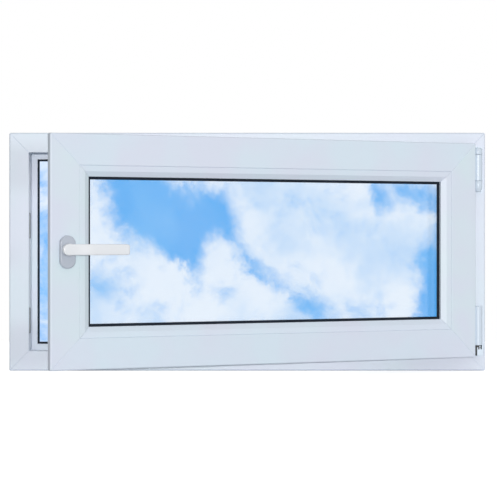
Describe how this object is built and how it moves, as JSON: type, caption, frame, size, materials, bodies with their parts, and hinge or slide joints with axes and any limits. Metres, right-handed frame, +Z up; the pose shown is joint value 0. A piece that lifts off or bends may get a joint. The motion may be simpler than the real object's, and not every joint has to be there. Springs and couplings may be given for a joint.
{
  "type": "pvc window",
  "caption": "White PVC window with a double-glazed sash that turns inwards on side hinges, a lever handle on the lock stile and dark seals.",
  "frame": {"origin": "middle of the frame's underside, half way through its depth", "axes": "+X to the right and +Y towards the street, both as seen from the room, +Z up"},
  "size_m": [1, 0.53, 0.5],
  "materials": {
    "white_pvc": "satin extrusion",
    "black_seal": "matt",
    "glass": "clear float glass",
    "spacer_aluminium": "mill finish",
    "black_polyamide": "moulded",
    "hinge_white": "satin cover",
    "zinc_steel": "zinc plated",
    "handle_white": "white powder coat"
  },
  "bodies": {
    "frame": {"frame_sill": "white_pvc", "frame_right_jamb": "white_pvc", "frame_head": "white_pvc", "frame_left_jamb": "white_pvc", "frame_seal": "black_seal", "hinge_bottom_bearing": "hinge_white", "hinge_bottom_bush": "black_polyamide", "hinge_bottom_pin": "zinc_steel", "hinge_top_bearing": "hinge_white", "hinge_top_pin": "zinc_steel", "keep_left_lower": "zinc_steel", "keep_left_upper": "zinc_steel", "keep_head": "zinc_steel", "keep_sill": "zinc_steel"},
    "handle": {"handle_lever": "handle_white", "handle_spindle": "zinc_steel"},
    "sash": {"sash_bottom_rail": "white_pvc", "sash_hinge_stile": "white_pvc", "sash_top_rail": "white_pvc", "sash_lock_stile": "white_pvc", "bead_bottom": "white_pvc", "bead_hinge_side": "white_pvc", "bead_top": "white_pvc", "bead_lock_side": "white_pvc", "glazing_seal_inner": "black_seal", "glazing_seal_outer": "black_seal", "sash_seal": "black_seal", "glass_inner": "glass", "glass_outer": "glass", "spacer_bar": "spacer_aluminium", "hinge_bottom_sleeve": "hinge_white", "hinge_top_sleeve": "hinge_white", "lock_strip_side": "zinc_steel", "lock_strip_top": "zinc_steel", "lock_strip_bottom": "zinc_steel", "handle_rosette": "handle_white"}
  },
  "joints": [
    {"name": "sash_turn", "type": "hinge", "parent": "frame", "child": "sash", "pos_m": [0.4835, -0.047, 0.253], "axis": [0, 0, 1], "range_deg": [-26.6, 63.4]},
    {"name": "handle_turn", "type": "hinge", "parent": "sash", "child": "handle", "pos_m": [-0.33912, -0.46788, 0.257], "axis": [0.4478, -0.8942, 0], "range_deg": [-90, 0]}
  ]
}
